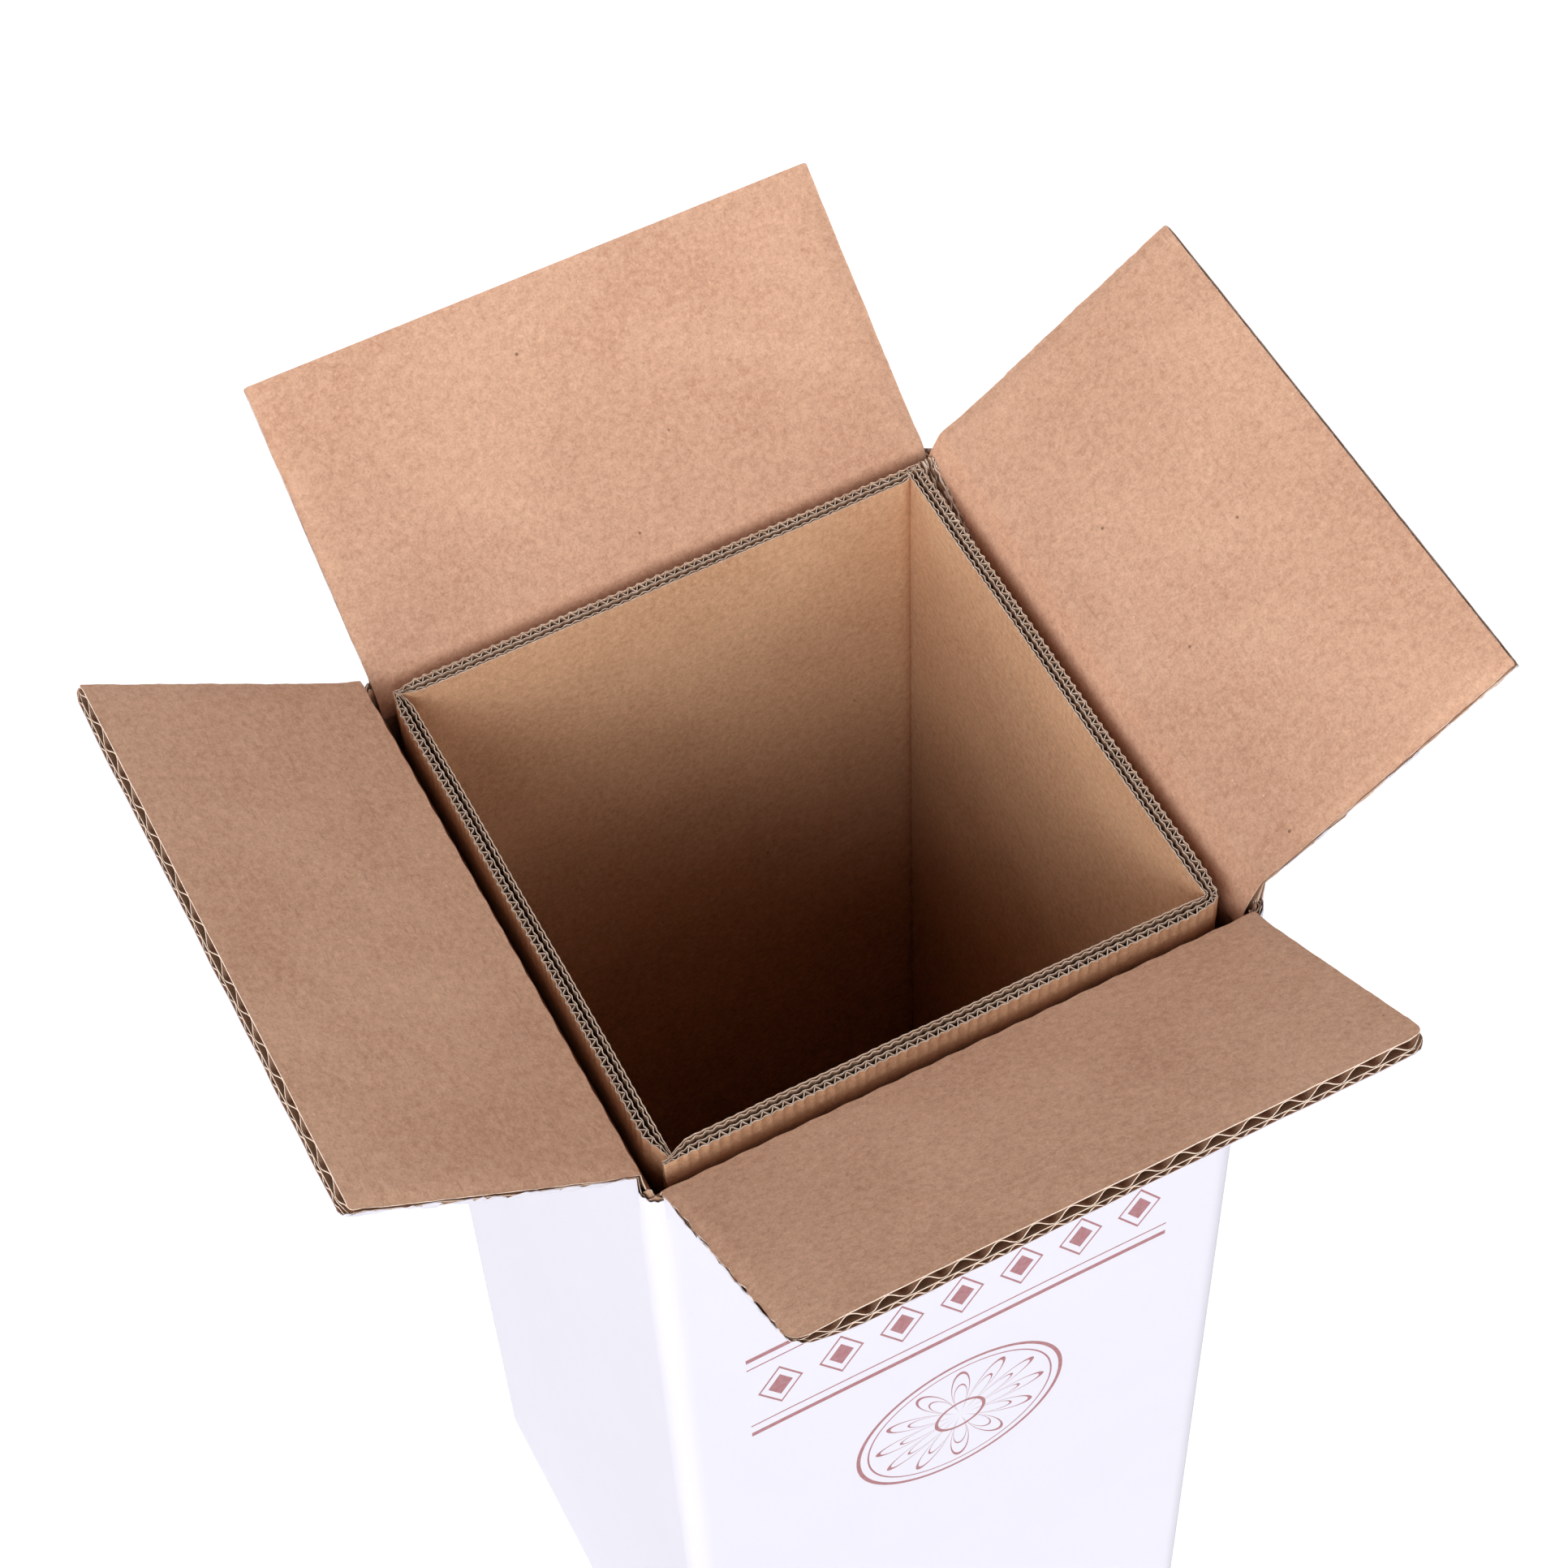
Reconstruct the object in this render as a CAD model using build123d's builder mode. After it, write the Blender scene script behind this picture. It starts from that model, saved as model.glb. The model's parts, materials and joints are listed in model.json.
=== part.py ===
from build123d import *
import os
from math import atan, cos, degrees, hypot, radians, sin, tan

os.makedirs("parts", exist_ok=True)

# Shipping box for one bottle: a slotted carton of double wall board, standing open, with a
# square liner sleeve inside it. Millimetres. The origin is the middle of the base, +Z is up,
# and the printed front faces -Y.

# Carton board, from the inside face outwards: facing, B flute, facing, E flute, facing
facing = 0.3
b_flute_height = 2.3
b_flute_pitch = 6.45
e_flute_height = 1.1
e_flute_pitch = 3.5
flute_paper = 0.24
flute_wall = 0.36
board = 3 * facing + b_flute_height + e_flute_height

# Carton
outer_width = 120.0
outer_depth = 120.0
fold_radius = 4.0
fold_groove = 2.2
slot = 3.2
slot_drop = 3.2
base_fold_radius = 3.0
base_seam = 1.2

# Seam tab: the back panel's edge, crushed thin, folded round and glued inside the right wall
tab_thickness = 1.5
tab_reach = 38.0
tab_rise = 12.0
tab_slant = 15.0

# Liner sleeve of fine flute board
liner_height = 302.4
liner_board = 3.15
liner_clearance = 0.3
liner_fold_radius = 2.5
liner_fold_groove = 1.9

# Creases of the top flaps. The outer pair (left, right) closes over the inner pair (front, back).
crease_inset = 1.6         # crease line, in from the wall's outer face
inner_drop = 0.5           # from the crease line to the inside face of a front or back flap
outer_drop = 0.7           # the same on a left or right flap
closed_gap = 0.2           # between a closed flap and what it closes over
root_gap = 0.3             # from the crease line to a flap's crushed root edge
root_edge = 0.5            # board left at the crushed root edge
crush_length = 7.0         # the board swells back to its full thickness over this length
sweep_gap = 0.1            # between the wall's crest and the flap's root as it turns
crest_width = 1.1          # of the crushed board along the top of a wall
crest_step = 1.0           # down from the crest on a front or back wall
crest_slope = 1.4          # from there down to the wall's inside face
closing_gap = 0.4          # under a closed front or back flap, beside the crests of the side walls
flap_angle_limit = 97.0    # from upright, outwards
flap_meeting_gap = 2.4     # between opposite flaps when they are closed
flap_corner_radius = 1.6

# Angle of each open flap, in degrees from upright
front_angle = 56.9
back_angle = 52.8
left_angle = 56.7
right_angle = 54.7

inner_half_width = outer_width / 2 - board
inner_half_depth = outer_depth / 2 - board
liner_width = 2 * inner_half_width - tab_thickness - 2 * liner_clearance
liner_depth = 2 * inner_half_depth - 2 * liner_clearance
liner_shift = -tab_thickness / 2
floor_top = 2 * board
liner_top = floor_top + liner_height

inner_pair_crease = liner_top + closed_gap - inner_drop
outer_pair_crease = liner_top + 2 * closed_gap + board - outer_drop
crest_bevel = flap_angle_limit - 90 + degrees(atan((board - root_edge) / crush_length))
slot_floor = inner_pair_crease - slot_drop


def crest_height(crease, drop):
    """Top of a wall, just under the circle that the flap's root edge turns on."""
    return crease - hypot(root_gap, drop + root_edge) - sweep_gap


def wall_top_cut(crest, step):
    """What is cut from the top of a wall: x runs outwards from its inside face, y upwards."""
    crease_line = board - crease_inset
    above = outer_pair_crease
    with BuildSketch(Plane.XY, mode=Mode.PRIVATE) as cut:
        with BuildLine():
            Polyline(
                (-facing, crest - step - crest_slope),
                (0, crest - step - crest_slope),
                (crease_line - crest_width, crest - step),
                (crease_line - crest_width, crest),
                (crease_line, crest),
                (board + facing, crest - (crease_inset + facing) * tan(radians(crest_bevel))),
                (board + facing, above),
                (-facing, above),
                close=True,
            )
        make_face()
    return cut.sketch


def flute_tunnels(pitch, height, width):
    """The open tunnels of one flute layer: x runs across the board, y up from the lower facing."""
    crest = 0.14 * pitch / 2
    slope = height / (height - flute_paper)
    base = (pitch / 2 - flute_wall - slope * crest) / (2 - slope)
    count = int((width - pitch) / pitch)
    rise = height - flute_paper
    with BuildSketch(Plane.XY, mode=Mode.PRIVATE) as tunnels:
        with GridLocations(pitch, 0, count, 1):
            Polygon((-base, 0), (base, 0), (crest, rise), (-crest, rise), align=None)
        with Locations((0, height)):
            with GridLocations(pitch, 0, count - 1, 1):
                Polygon((-base, 0), (-crest, -rise), (crest, -rise), (base, 0), align=None)
    return tunnels.sketch


def make_flap(outwards, half_span, width, crease, drop, opened):
    """One top flap, opened by an angle from upright. Its inside face looks up and inwards."""
    up = Vector(0, 0, 1)
    along = up * cos(radians(opened)) + outwards * sin(radians(opened))
    inside = up * sin(radians(opened)) - outwards * cos(radians(opened))
    crease_point = outwards * (half_span - crease_inset) + up * crease
    across = inside.cross(along)
    length = half_span - crease_inset - root_gap - flap_meeting_gap / 2
    section = Plane(origin=crease_point, x_dir=across, z_dir=along).offset(root_gap)
    profile = Plane(origin=crease_point, x_dir=along, z_dir=-across)

    with BuildPart() as flap:
        with BuildSketch(section):
            with Locations((0, -drop - board / 2)):
                Rectangle(width, board)
        extrude(amount=length)
        corners = flap.edges().filter_by(Axis(crease_point, inside))
        fillet(corners.group_by(Axis(crease_point, along))[-1], flap_corner_radius)

        # the crushed root: the outside of the board rises to a thin edge at the crease
        with BuildSketch(profile):
            Polygon(
                (root_gap, -drop - root_edge),
                (root_gap + crush_length, -drop - board),
                (root_gap, -drop - board),
                align=None,
            )
        extrude(amount=width / 2, both=True, mode=Mode.SUBTRACT)

        # flutes run from the free edge back to the crushed root
        with BuildSketch(section.offset(length)):
            with Locations((0, -drop - facing - b_flute_height)):
                add(flute_tunnels(b_flute_pitch, b_flute_height, width))
            with Locations((0, -drop - board + facing)):
                add(flute_tunnels(e_flute_pitch, e_flute_height, width))
        extrude(amount=crush_length - length, mode=Mode.SUBTRACT)
    return flap


with BuildPart() as carton_body:
    # four walls, folded from one sheet: rounded outside, a crushed groove inside each fold
    with BuildSketch():
        RectangleRounded(outer_width, outer_depth, fold_radius)
        Rectangle(2 * inner_half_width, 2 * inner_half_depth, mode=Mode.SUBTRACT)
        with GridLocations(2 * inner_half_width, 2 * inner_half_depth, 2, 2):
            Circle(fold_groove, mode=Mode.SUBTRACT)
    extrude(amount=crest_height(outer_pair_crease, outer_drop))

    # closed bottom: the left and right flaps lie outside, the front and back ones on top of them
    with BuildSketch():
        Rectangle(outer_width - 2 * fold_groove, outer_depth - 2 * slot)
        Rectangle(base_seam, outer_depth, mode=Mode.SUBTRACT)
    extrude(amount=board)
    with BuildSketch(Plane.XY.offset(board)):
        Rectangle(outer_width - 2 * slot, outer_depth - 2 * fold_groove)
        Rectangle(outer_width, base_seam, mode=Mode.SUBTRACT)
    extrude(amount=board)

    # the front and back panels end one board up, on the side edges of the outer bottom flaps
    with BuildSketch():
        with Locations((0, (outer_depth - slot) / 2), (0, (slot - outer_depth) / 2)):
            Rectangle(outer_width, slot)
    extrude(amount=board, mode=Mode.SUBTRACT)

    # rounded folds along the bottom of the four panels
    for plane, half_span, height in (
        (Plane.XZ, outer_width / 2, 0),
        (Plane.YZ, outer_depth / 2, board),
    ):
        with BuildSketch(plane):
            with Locations((half_span, height), (-half_span, height)):
                Rectangle(2 * base_fold_radius, 2 * base_fold_radius)
            with Locations(
                (half_span - base_fold_radius, height + base_fold_radius),
                (base_fold_radius - half_span, height + base_fold_radius),
            ):
                Circle(base_fold_radius, mode=Mode.SUBTRACT)
        extrude(amount=outer_width, both=True, mode=Mode.SUBTRACT)

    # tops of the walls, crushed along the creases of the flaps
    inner_crest = crest_height(inner_pair_crease, inner_drop)
    outer_crest = crest_height(outer_pair_crease, outer_drop)
    outer_step = outer_crest - liner_top - closed_gap + closing_gap
    for side in (-1, 1):
        front_or_back = Vector(0, side * inner_half_depth, 0)
        with BuildSketch(Plane(origin=front_or_back, x_dir=(0, side, 0), z_dir=(side, 0, 0))):
            add(wall_top_cut(inner_crest, crest_step))
        extrude(amount=outer_width / 2 - slot, both=True, mode=Mode.SUBTRACT)
        left_or_right = Vector(side * inner_half_width, 0, 0)
        with BuildSketch(Plane(origin=left_or_right, x_dir=(side, 0, 0), z_dir=(0, -side, 0))):
            add(wall_top_cut(outer_crest, outer_step))
        extrude(amount=outer_depth / 2 - slot, both=True, mode=Mode.SUBTRACT)

    # slots between the flaps, cut down past the creases
    with BuildSketch(Plane.XY.offset(slot_floor)):
        with GridLocations(outer_width, outer_depth, 2, 2):
            Rectangle(2 * slot, 2 * slot)
    extrude(amount=outer_pair_crease - slot_floor, mode=Mode.SUBTRACT)

    # seam tab inside the right wall, from the fold at the back, with slanted ends
    tab_bottom = floor_top + tab_rise
    tab_top = inner_crest - crest_step - crest_slope
    tab_cut = tab_reach * tan(radians(tab_slant))
    with BuildSketch(Plane(origin=(inner_half_width, 0, 0), x_dir=(0, 1, 0), z_dir=(1, 0, 0))):
        Polygon(
            (inner_half_depth, tab_bottom),
            (inner_half_depth, tab_top),
            (inner_half_depth - tab_reach, tab_top - tab_cut),
            (inner_half_depth - tab_reach, tab_bottom + tab_cut),
            align=None,
        )
    extrude(amount=-tab_thickness)

carton_body.part.label = "carton_body"
export_step(carton_body.part, "parts/carton_body.step")

with BuildPart() as liner:
    with BuildSketch(Plane.XY.offset(floor_top)):
        with Locations((liner_shift, 0)):
            RectangleRounded(liner_width, liner_depth, liner_fold_radius)
            Rectangle(liner_width - 2 * liner_board, liner_depth - 2 * liner_board, mode=Mode.SUBTRACT)
            with GridLocations(liner_width - 2 * liner_board, liner_depth - 2 * liner_board, 2, 2):
                Circle(liner_fold_groove, mode=Mode.SUBTRACT)
    extrude(amount=liner_height)

liner.part.label = "liner"
export_step(liner.part, "parts/liner.step")

inner_pair = (outer_depth / 2, outer_width - 2 * slot, inner_pair_crease, inner_drop)
outer_pair = (outer_width / 2, outer_depth - 2 * slot, outer_pair_crease, outer_drop)
flaps = {
    "flap_front": make_flap(Vector(0, -1, 0), *inner_pair, front_angle),
    "flap_back": make_flap(Vector(0, 1, 0), *inner_pair, back_angle),
    "flap_left": make_flap(Vector(-1, 0, 0), *outer_pair, left_angle),
    "flap_right": make_flap(Vector(1, 0, 0), *outer_pair, right_angle),
}
for name, flap in flaps.items():
    flap.part.label = name
    export_step(flap.part, f"parts/{name}.step")

print("creases:", inner_pair_crease, outer_pair_crease, "liner top:", liner_top, "board:", board)
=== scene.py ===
import bpy
import bmesh
import json
import math
from mathutils import Matrix, Vector, noise


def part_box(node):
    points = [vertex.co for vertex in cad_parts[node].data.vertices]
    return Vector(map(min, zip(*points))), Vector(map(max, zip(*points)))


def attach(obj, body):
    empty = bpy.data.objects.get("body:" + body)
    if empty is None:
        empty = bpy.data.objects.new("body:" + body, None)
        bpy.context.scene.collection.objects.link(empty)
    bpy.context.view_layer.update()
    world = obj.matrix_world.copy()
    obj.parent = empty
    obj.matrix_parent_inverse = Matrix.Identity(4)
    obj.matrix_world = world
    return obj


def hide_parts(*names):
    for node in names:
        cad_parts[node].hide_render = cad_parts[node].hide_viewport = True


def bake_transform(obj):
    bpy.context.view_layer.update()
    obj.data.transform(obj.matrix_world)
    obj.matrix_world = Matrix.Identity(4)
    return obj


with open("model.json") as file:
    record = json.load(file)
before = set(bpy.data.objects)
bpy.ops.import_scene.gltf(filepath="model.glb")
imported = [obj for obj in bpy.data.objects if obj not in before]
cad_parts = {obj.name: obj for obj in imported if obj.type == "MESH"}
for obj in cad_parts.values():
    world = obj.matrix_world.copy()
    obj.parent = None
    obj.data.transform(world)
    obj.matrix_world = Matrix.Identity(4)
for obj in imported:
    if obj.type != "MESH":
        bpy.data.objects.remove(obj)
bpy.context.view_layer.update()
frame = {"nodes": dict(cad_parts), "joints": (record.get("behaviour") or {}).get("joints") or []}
mm = 0.001

# sheets in the carton's double wall board, from the kraft inside face outwards (millimetres)
cartonBoard = {
    "thickness": 3.9,
    "paper": 0.26,            # inside and outside facings
    "flutePaper": 0.2,
    "middlePaper": 0.2,
    "insideFacing": 0.05,     # depths at which the flat sheets start
    "bFlute": {"middle": 1.34, "height": 0.96, "pitch": 6.45, "steps": 12},
    "middleFacing": 2.44,
    "eFlute": {"middle": 3.17, "height": 0.42, "pitch": 3.5, "steps": 8},
    "outerFacing": 3.64,
    "endTrim": 0.12,          # flutes stop short of the facings at the free edge
    "sideTrim": 0.1,          # and at the side edges
}

# slots of each piece's material list
kraft, medium, white, cut = 0, 1, 2, 3


def linear(hexColour):
    # sRGB hex to the linear colour that a shader takes
    parts = [int(hexColour[i:i + 2], 16) / 255 for i in (1, 3, 5)]
    return [p / 12.92 if p <= 0.04045 else ((p + 0.055) / 1.055) ** 2.4 for p in parts] + [1]


def smooth(low, high, value):
    t = min(1, max(0, (value - low) / (high - low)))
    return t * t * (3 - 2 * t)


def steps(low, high, count):
    return [low + (high - low) * i / count for i in range(count + 1)]


def wobble(*place, size=1.0, seed=0.0):
    # smooth noise from -1 to 1 that is the same at each run
    return noise.noise(Vector((place[0] / size, (place[1] if len(place) > 1 else 0) / size, seed)))


def addNode(tree, kind, inputs=None, **settings):
    node = tree.nodes.new(kind)
    for name, value in settings.items():
        setattr(node, name, value)
    for key, value in (inputs or {}).items():
        if isinstance(value, bpy.types.NodeSocket):
            tree.links.new(value, node.inputs[key])
        else:
            node.inputs[key].default_value = value
    return node


def calc(tree, operation, *values):
    # one step of arithmetic: numbers or sockets, in the order that the node takes them
    return addNode(tree, "ShaderNodeMath", dict(enumerate(values)), operation=operation).outputs[0]


def remap(tree, value, fromLow, fromHigh, toLow=0.0, toHigh=1.0):
    return addNode(tree, "ShaderNodeMapRange", {
        "Value": value, "From Min": fromLow, "From Max": fromHigh,
        "To Min": toLow, "To Max": toHigh}).outputs[0]


def mixColours(tree, share, first, second):
    mixed = addNode(tree, "ShaderNodeMix", {"Factor": share, 6: first, 7: second}, data_type="RGBA")
    return mixed.outputs[2]


# patterns in all the papers, by how often they repeat in a metre
paperLook = {
    "clouds": 33,             # 3 cm
    "mottling": 750,          # 1.3 mm
    "grain": 2600,            # 0.4 mm
    "cloudShare": 0.55,       # of the contrast between the two colours
    "spread": 0.42,           # the colours span this much to each side of the noise's middle
    "fibres": 2400,           # 0.4 mm wide, stretched to 3 mm
    "fibreShare": 0.25,       # how much a fibre tints the paper
    "darkSpecks": (240, 0.965),           # cells of 4.2 mm, and the share of them that is left empty
    "paleSpecks": (420, 0.98),
    "speckEdge": (0.1, 0.05),             # a speck fades between these shares of a cell
    "relief": 0.0002,         # metres
    "sheen": 0.25,
}


def paperMaterial(name, colours, roughness, mottle, fibre, speck, bump):
    # colours: dark and pale ends of the mottling, dark specks and fibres, pale ones
    look = paperLook
    darkest, palest, darkTint, paleTint = (linear(c) for c in colours)
    material = bpy.data.materials.new(name)
    material.use_nodes = True
    tree = material.node_tree
    tree.nodes.clear()
    place = addNode(tree, "ShaderNodeTexCoord").outputs["Object"]
    level = 0.0
    for scale, detail, share in ((look["clouds"], 2, look["cloudShare"]), (look["mottling"], 2, mottle),
                                 (look["grain"], 1, fibre)):
        pattern = addNode(tree, "ShaderNodeTexNoise", {
            "Vector": place, "Scale": scale, "Detail": detail, "Roughness": 0.6, "Distortion": 0.3})
        level = calc(tree, "MULTIPLY_ADD", pattern.outputs[0], share, level)
    centre = 0.5 * (look["cloudShare"] + mottle + fibre)
    level = remap(tree, level, centre - look["spread"], centre + look["spread"])
    colour = mixColours(tree, level, darkest, palest)
    # loose fibres, dark and pale, in two directions
    for turn, stretch, shift, tint in (((0.4, 0.3, 0.5), (1, 0.12, 0.5), 0.0, darkTint),
                                       ((0.2, 0.6, 1.9), (1, 0.14, 0.6), 3.7, paleTint)):
        moved = addNode(tree, "ShaderNodeMapping", {
            "Vector": place, "Rotation": turn, "Scale": stretch, "Location": (shift, shift, shift)})
        strands = addNode(tree, "ShaderNodeTexNoise", {
            "Vector": moved.outputs[0], "Scale": look["fibres"], "Detail": 0, "Distortion": 0.8})
        mask = remap(tree, strands.outputs[0], 0.72, 0.84, toHigh=look["fibreShare"] * speck)
        colour = mixColours(tree, mask, colour, tint)
    # specks of bark up to 0.8 mm across, one in every few square centimetres
    for (scale, empty), tint in ((look["darkSpecks"], darkTint), (look["paleSpecks"], paleTint)):
        cells = addNode(tree, "ShaderNodeTexVoronoi", {"Vector": place, "Scale": scale, "Randomness": 1})
        near = remap(tree, cells.outputs["Distance"], *look["speckEdge"])
        pick = addNode(tree, "ShaderNodeSeparateColor", {0: cells.outputs["Color"]}).outputs[0]
        mask = calc(tree, "MULTIPLY", near, calc(tree, "GREATER_THAN", pick, empty))
        colour = mixColours(tree, calc(tree, "MULTIPLY", mask, speck), colour, tint)
    relief = addNode(tree, "ShaderNodeBump", {
        "Strength": bump, "Distance": look["relief"], "Height": level})
    shader = addNode(tree, "ShaderNodeBsdfPrincipled", {
        "Base Color": colour, "Roughness": roughness, "Normal": relief.outputs[0],
        "Specular IOR Level": look["sheen"]})
    addNode(tree, "ShaderNodeOutputMaterial", {"Surface": shader.outputs[0]})
    return material, tree, shader


# unbleached kraft liner: brown, matt, cloudy, with bark specks
kraftPaper = paperMaterial(
    "kraftLinerPaper", ("#BF8E74", "#ECC0A3", "#7B5543", "#F2D8C4"),
    roughness=0.85, mottle=0.9, fibre=0.8, speck=0.8, bump=0.25)[0]
# the sleeve's kraft: the same kraft made a little yellower, a painted warm bounce light that stands in for
# the light its kraft walls throw on each other
sleeveKraftPaintedBounce = paperMaterial(
    "kraftSleevePaintedBounce", ("#BC8F6E", "#E8BF9A", "#7A5741", "#EFD8C0"),
    roughness=0.85, mottle=0.9, fibre=0.8, speck=0.8, bump=0.25)[0]
# recycled fluting: greyer and rougher than the facing
flutePaper = paperMaterial(
    "recycledFluting", ("#9A7860", "#B99880", "#5E4434", "#CDB09A"),
    roughness=0.95, mottle=0.7, fibre=0.6, speck=0.5, bump=0.6)[0]
# cut paper edges: pale, because torn fibres stand up there
cutPaper = paperMaterial(
    "cutPaperEdge", ("#DCC4B0", "#F6E4D4", "#A88A74", "#FBF0E6"),
    roughness=1.0, mottle=0.9, fibre=0.9, speck=0.4, bump=0.8)[0]
# clay coated white top liner: smooth, cool white, a little sheen
whitePaper, whiteTree, whiteShader = paperMaterial(
    "coatedWhiteLiner", ("#D4D2DC", "#D9D7E2", "#CBC9D3", "#DEDCE6"),
    roughness=0.55, mottle=0.25, fibre=0.2, speck=0.3, bump=0.08)
papers = [kraftPaper, flutePaper, whitePaper, cutPaper]
print("papers made")


def guarded(values):
    # an extra row just inside each end keeps the smooth shading off the cut edge
    return [values[0], values[0] + 0.04, *values[1:-1], values[-1] - 0.04, values[-1]]


def facesOf(verts):
    # each face on these vertices, once
    return list(dict.fromkeys(f for v in verts for f in v.link_faces))


def turnOutwards(bm, faces):
    for face in faces:
        face.normal_update()
    bmesh.ops.recalc_face_normals(bm, faces=faces)


def addPaper(bm, uValues, wValues, place, profile, thickness, slots):
    # one sheet: a grid that place() bends, then its other side, a paper's thickness further out
    uValues, wValues = guarded(uValues), guarded(wValues)
    rows, columns = len(uValues) - 1, len(wValues) - 1
    lower = bmesh.ops.create_grid(bm, x_segments=rows, y_segments=columns, size=0.5)["verts"]
    first = facesOf(lower)
    lifted = bmesh.ops.extrude_face_region(bm, geom=first, use_keep_orig=True)["geom"]
    upper = [g for g in lifted if isinstance(g, bmesh.types.BMVert)]
    slotOf = {face: slots[0] for face in first}
    slotOf.update({g: slots[1] for g in lifted if isinstance(g, bmesh.types.BMFace)})
    faces = facesOf(lower + upper)
    for face in faces:
        face.smooth = face in slotOf
        face.material_index = slotOf.get(face, slots[2])
    for verts, lift in ((lower, 0.0), (upper, thickness)):
        for vert in verts:
            u = uValues[round((vert.co.x + 0.5) * rows)]
            w = wValues[round((vert.co.y + 0.5) * columns)]
            depth, slope = profile(u, w)
            run = math.hypot(1, slope)
            vert.co = place(u, w - lift * slope / run, depth + lift / run)
    turnOutwards(bm, faces)


def flat(depth):
    return lambda u, w: (depth, 0.0)


def fluted(flute, seed, lean=0.35):
    # a corrugated sheet: sine flutes that are a little uneven, as machine flutes are
    def profile(u, w):
        shifted = w + lean * wobble(w, size=9, seed=seed)
        angle = 2 * math.pi * shifted / flute["pitch"]
        height = flute["height"] * (1 + 0.05 * wobble(w, size=5, seed=seed + 3))
        slope = height * math.cos(angle) * 2 * math.pi / flute["pitch"]
        return flute["middle"] + height * math.sin(angle), slope
    return profile


def makePiece(name, bm, materials):
    mesh = bpy.data.meshes.new(name)
    bm.to_mesh(mesh)
    bm.free()
    piece = bpy.data.objects.new(name, mesh)
    bpy.context.scene.collection.objects.link(piece)
    for material in materials:
        mesh.materials.append(material)
    return piece


def stackBoard(bm, rows, half, place, seed, facingRows=None):
    # the five papers of the carton's board, laid by place() over a width of 2 * half
    board = cartonBoard
    facingRows = facingRows or rows
    fluteRows = rows[:-1] + [rows[-1] - board["endTrim"]]
    side = half - board["sideTrim"]
    for flute, offset in ((board["bFlute"], 0), (board["eFlute"], 11)):
        count = round(2 * half / flute["pitch"] * flute["steps"])
        addPaper(bm, fluteRows, steps(-side, side, count), place, fluted(flute, seed + offset),
                 board["flutePaper"], (medium, medium, cut))
    rim = [half - x for x in (0, 0.3, 0.7, 1.2)]
    wide = [-w for w in rim] + steps(1.8 - half, half - 1.8, 68) + rim[::-1]
    addPaper(bm, facingRows, wide, place, flat(board["insideFacing"]), board["paper"], (kraft, kraft, cut))
    addPaper(bm, rows, steps(-half, half, 38), place, flat(board["middleFacing"]), board["middlePaper"],
             (medium, medium, cut))
    addPaper(bm, facingRows, wide, place, flat(board["outerFacing"]), board["paper"], (kraft, white, white))


def foldedTrack(halfX, halfY, radii):
    # walks the outside of a square sleeve, from its front right fold round by the right side
    runs = [2 * half - radii[i - 1] - radii[i] for i, half in enumerate((halfY, halfX) * 2)]
    arcs = [radius * math.pi / 2 for radius in radii]

    def track(p):
        # gives a point, the way out from it, the nearest fold and the distance to that fold
        edge = Vector((halfX, radii[3] - halfY, 0))
        heading, outward = Vector((0, 1, 0)), Vector((1, 0, 0))
        for fold, run in enumerate(runs):
            if p < run:
                nearest = fold if p > run / 2 else fold - 1
                return edge + heading * p, outward, nearest % 4, min(p, run - p)
            p -= run
            radius = radii[fold]
            centre = edge + heading * run - outward * radius
            if p <= arcs[fold] or fold == 3:
                aim = outward * math.cos(p / radius) + heading * math.sin(p / radius)
                return centre + aim * radius, aim, fold, 0.0
            p -= arcs[fold]
            edge = centre + heading * radius
            outward, heading = heading, -outward
    return track, runs, arcs


def spotsAround(runs, arcs, near, middle):
    # stations round a sleeve, closer together beside its folds
    spots, start = [], 0
    for run, arc in zip(runs, arcs):
        spots += [start + d for d in near]
        spots += steps(start + near[-1], start + run - near[-1], middle)[1:-1]
        spots += [start + run - d for d in reversed(near)] + [start + run + arc * i / 4 for i in (1, 2, 3)]
        start += run + arc
    return spots


def addTube(bm, around, heights, deep, place, slots):
    # a sleeve's walls: two loops, joined, drawn up row by row, then bent by place()
    heights = guarded(heights)
    rings = [bmesh.ops.create_circle(bm, segments=len(around), radius=r)["verts"] for r in (1, 0.9)]
    edges = list(dict.fromkeys(e for ring in rings for v in ring for e in v.link_edges))
    level = bmesh.ops.bridge_loops(bm, edges=edges)["faces"]
    for ring, depth in zip(rings, (deep, 0)):
        for vert, p in zip(ring, around):
            vert.co = (p, depth, heights[0])
    made = [v for ring in rings for v in ring]
    for low, high in zip(heights, heights[1:]):
        grown = bmesh.ops.extrude_face_region(bm, geom=level, use_keep_orig=True)["geom"]
        verts = [g for g in grown if isinstance(g, bmesh.types.BMVert)]
        bmesh.ops.translate(bm, verts=verts, vec=(0, 0, high - low))
        if low > heights[0]:
            bmesh.ops.delete(bm, geom=level, context="FACES")
        made += verts
        level = [g for g in grown if isinstance(g, bmesh.types.BMFace)]
    faces = facesOf(made)
    for face in faces:
        depths = {round(v.co.y, 3) for v in face.verts}
        side = 2 if len(depths) > 1 else 1 if round(deep, 3) in depths else 0
        face.material_index = slots[side]
        face.smooth = side < 2
    for vert in made:
        vert.co = place(vert.co.z, vert.co.x, vert.co.y)
    turnOutwards(bm, faces)


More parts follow.
